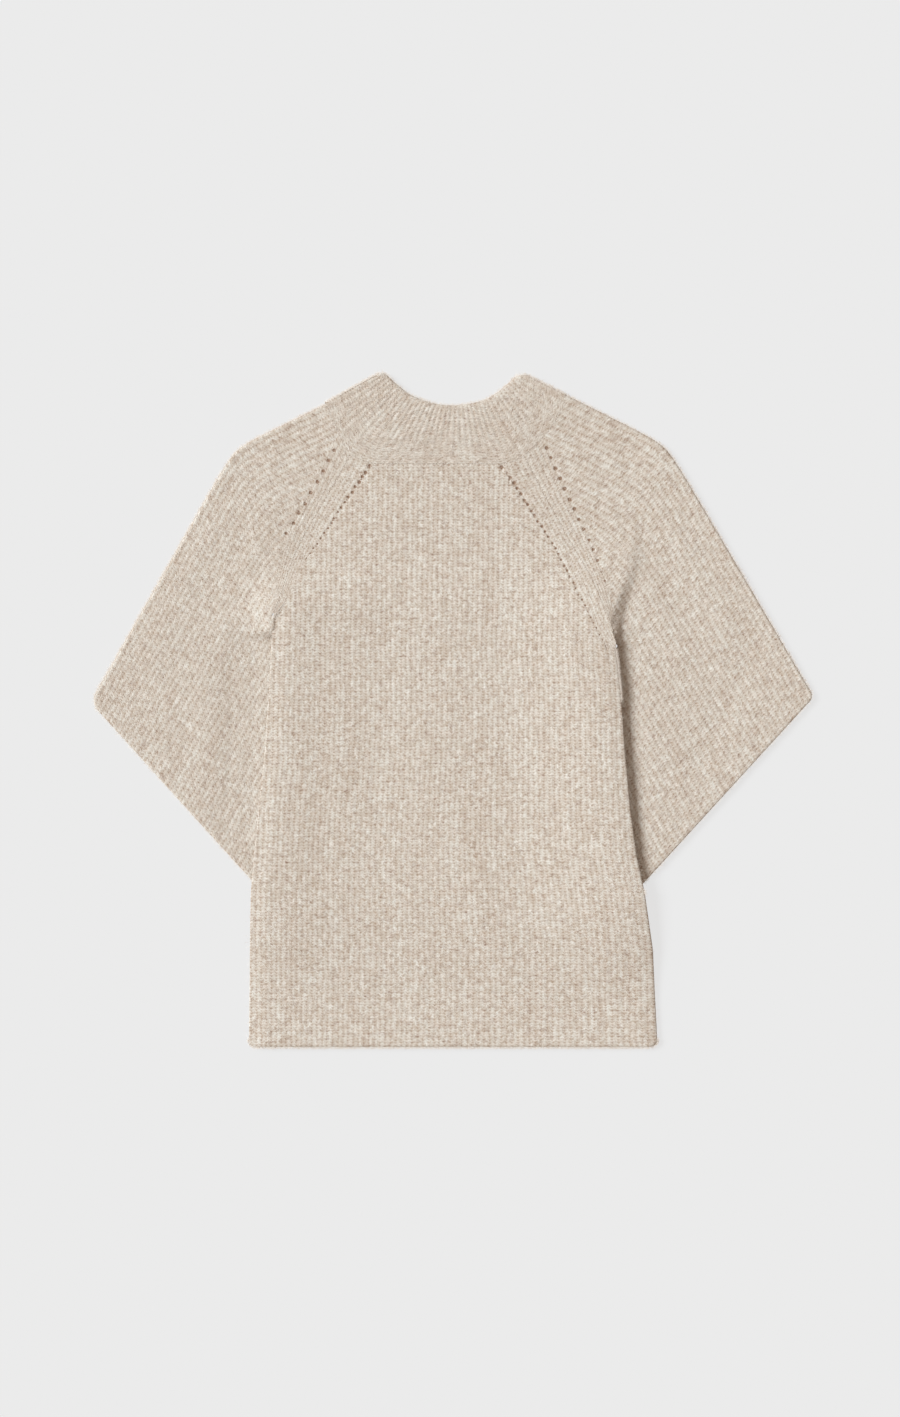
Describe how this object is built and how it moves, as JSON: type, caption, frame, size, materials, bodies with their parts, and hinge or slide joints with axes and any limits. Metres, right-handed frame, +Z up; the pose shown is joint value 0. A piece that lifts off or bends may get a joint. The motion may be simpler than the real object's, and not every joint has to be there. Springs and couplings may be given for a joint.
{
  "type": "mohair cardigan",
  "caption": "Short wide raglan cardigan in brushed rib knit with wide sleeves, a deep stand collar and a plain front opening, laid flat face down with its sleeves spread.",
  "frame": {"origin": "middle of the laid-out cardigan's outline, on the surface it lies on", "axes": "+X from cuff to cuff, towards the sleeve on the right as seen from above; +Y from the hem towards the collar; +Z up from the surface, out of the back"},
  "size_m": [0.788, 0.7454, 0.0146],
  "materials": {
    "rib_knit": "brushed mohair rib knit, oatmeal with cream and taupe fibres",
    "band_knit": "brushed mohair flat knit, oatmeal with cream and taupe fibres"
  },
  "bodies": {
    "root": {"back": "rib_knit", "front_left": "rib_knit", "front_right": "rib_knit", "front_band_left": "band_knit", "front_band_right": "band_knit", "sleeve_left": "rib_knit", "sleeve_right": "rib_knit", "collar": "rib_knit"}
  },
  "joints": []
}
